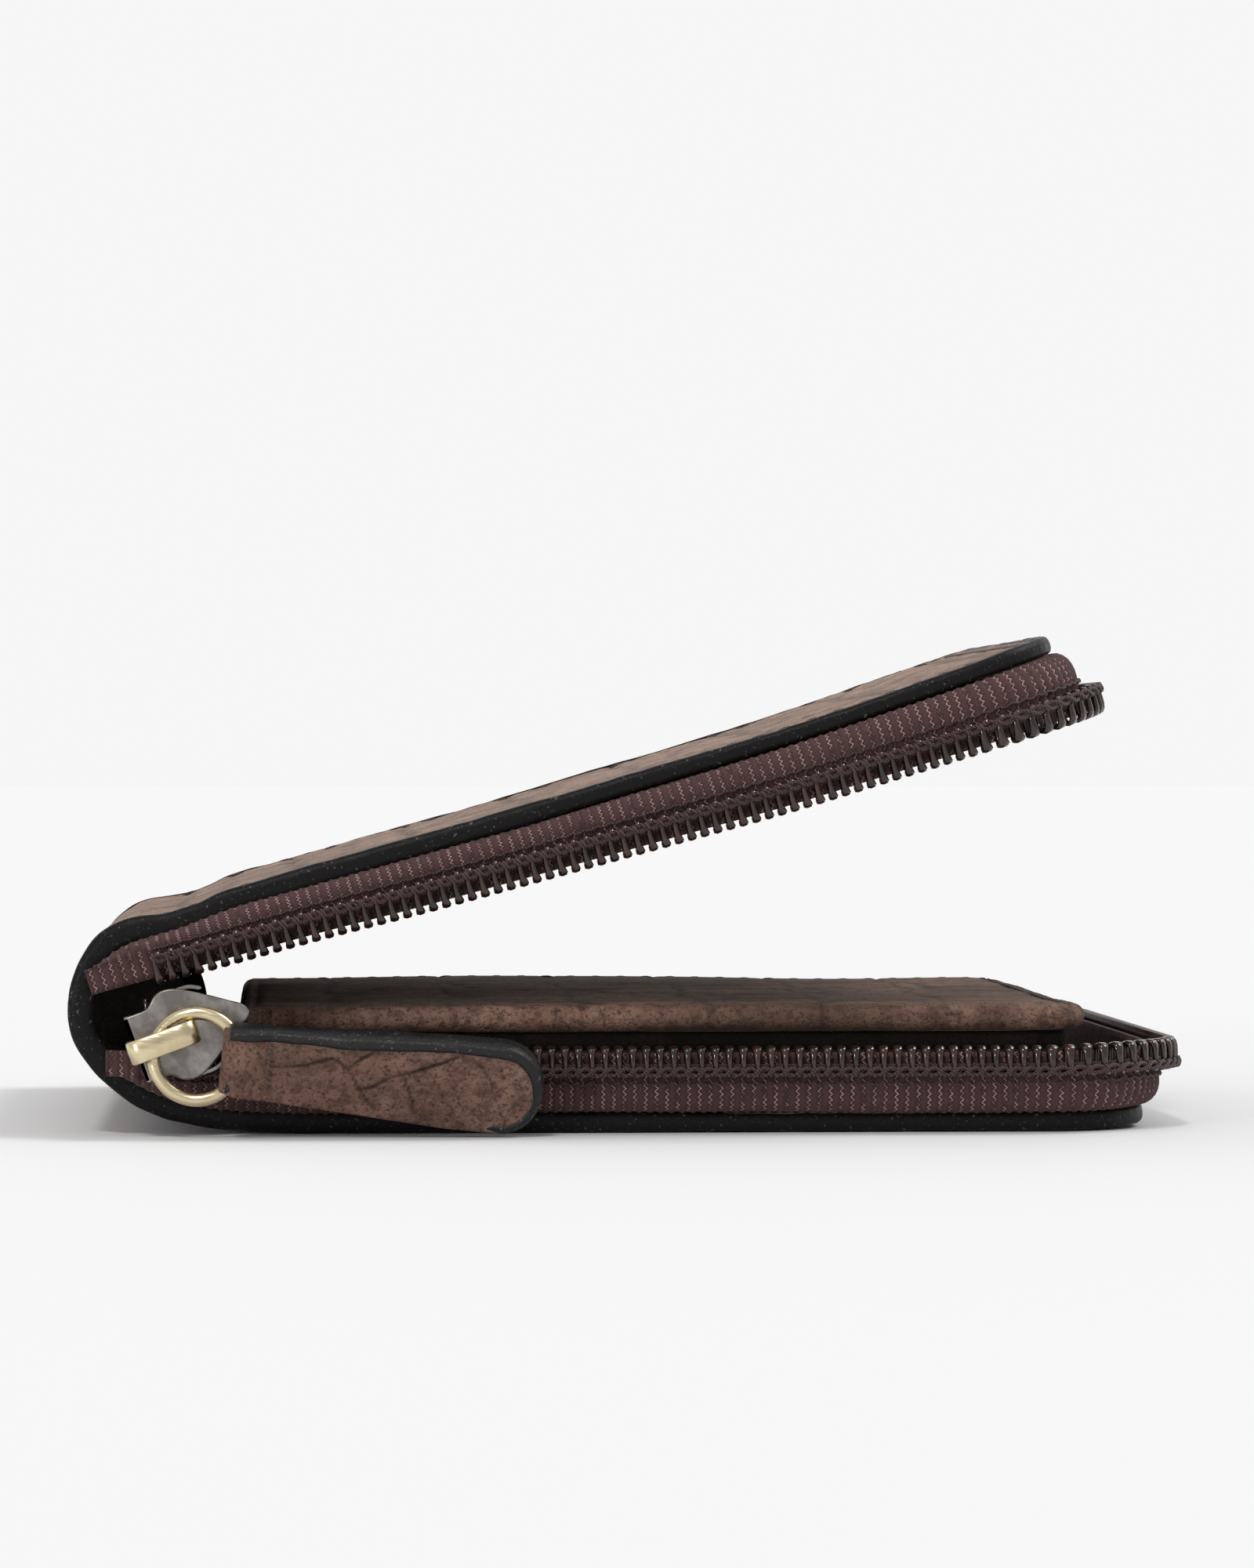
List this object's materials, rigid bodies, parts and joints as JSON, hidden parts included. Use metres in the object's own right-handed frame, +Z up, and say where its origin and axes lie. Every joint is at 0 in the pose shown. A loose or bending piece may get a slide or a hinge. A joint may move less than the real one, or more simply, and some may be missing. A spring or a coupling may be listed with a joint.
{
  "type": "zip-around bifold wallet",
  "caption": "Compact leather wallet of two covers hinged on a bowed spine, closed by a coil zipper running round three sides, with a ring and leather pull on the slider.",
  "frame": {"origin": "middle of the flat underside of the lower cover", "axes": "+Z up, +X from the spine to the mouth end, +Y along the spine from the slider's side to the far side"},
  "size_m": [0.1132, 0.1072, 0.0511],
  "materials": {
    "outer_leather": "embossed nubuck, matt",
    "inner_leather": "smooth-backed leather, matt",
    "pull_leather": "embossed nubuck, matt",
    "edge_paint": "hand-painted edge, satin black",
    "board": "bonded leather-fibre board, raw",
    "lining": "thin split leather, matt",
    "zipper_tape": "woven polyester tape, ribbed",
    "zipper_coil": "extruded polyester coil, glossy",
    "zipper_thread": "polyester thread",
    "thread": "waxed thread",
    "slider_metal": "die-cast zinc, gunmetal plate",
    "stop_metal": "gunmetal plate",
    "brass": "antique brass, satin"
  },
  "bodies": {
    "lower_half": {"lower_cover_leather": "outer_leather", "lower_stiffener_board": "board", "lower_edge_paint": "edge_paint", "lower_lining": "lining", "lower_zipper_tape": "zipper_tape", "lower_zipper_coil": "zipper_coil", "lower_coil_cord": "zipper_thread", "lower_coil_stitching": "zipper_thread", "lower_top_stop": "stop_metal", "lower_cover_stitching": "thread", "lower_inner_panel": "inner_leather", "lower_panel_board": "board", "lower_panel_stitching": "thread", "lower_pocket_base": "inner_leather", "lower_pocket_leaf_1": "inner_leather", "lower_pocket_leaf_2": "inner_leather", "lower_pocket_leaf_3": "inner_leather"},
    "spine": {"spine_leather": "outer_leather", "spine_lining": "lining", "spine_edge_paint": "edge_paint", "zipper_chain_end": "zipper_coil", "zipper_bottom_stop": "stop_metal", "zipper_tape_end": "zipper_tape"},
    "upper_half": {"upper_cover_leather": "outer_leather", "upper_stiffener_board": "board", "upper_edge_paint": "edge_paint", "upper_lining": "lining", "upper_zipper_tape": "zipper_tape", "upper_zipper_coil": "zipper_coil", "upper_coil_cord": "zipper_thread", "upper_coil_stitching": "zipper_thread", "upper_top_stop": "stop_metal", "upper_cover_stitching": "thread", "upper_card_leaf_1": "inner_leather", "upper_card_leaf_2": "inner_leather", "upper_card_leaf_3": "inner_leather"},
    "slider": {"slider_body": "slider_metal", "slider_bridge": "brass"},
    "pull_ring": {"pull_ring": "brass"},
    "pull": {"pull_leather": "pull_leather", "pull_edge_paint": "edge_paint", "pull_stitching": "thread"}
  },
  "joints": [
    {"name": "fold_lower", "type": "hinge", "parent": "lower_half", "child": "spine", "pos_m": [-0.055, 0, 0.0036], "axis": [0, -1, 0], "range_deg": [-8.75, 81.25]},
    {"name": "fold_upper", "type": "hinge", "parent": "spine", "child": "upper_half", "pos_m": [-0.05698, 0, 0.01645], "axis": [0, -1, 0], "range_deg": [-8.75, 81.25]},
    {"name": "zip_run", "type": "slide", "parent": "spine", "child": "slider", "axis": [0.9884, 0, 0.1521], "range_m": [0, 0.08]},
    {"name": "ring_flip", "type": "hinge", "parent": "slider", "child": "pull_ring", "pos_m": [-0.05171, -0.0537, 0.00983], "axis": [-0.3746, 0, -0.9272], "range_deg": [0, 90]},
    {"name": "pull_swing", "type": "hinge", "parent": "pull_ring", "child": "pull", "pos_m": [-0.04764, -0.05401, 0.00818], "axis": [0, -1, 0], "range_deg": [-81.25, 8.75]}
  ],
  "couplings": [
    {"joint": "fold_upper", "follows": "fold_lower", "ratio": 1},
    {"joint": "pull_swing", "follows": "fold_lower", "ratio": -1}
  ]
}
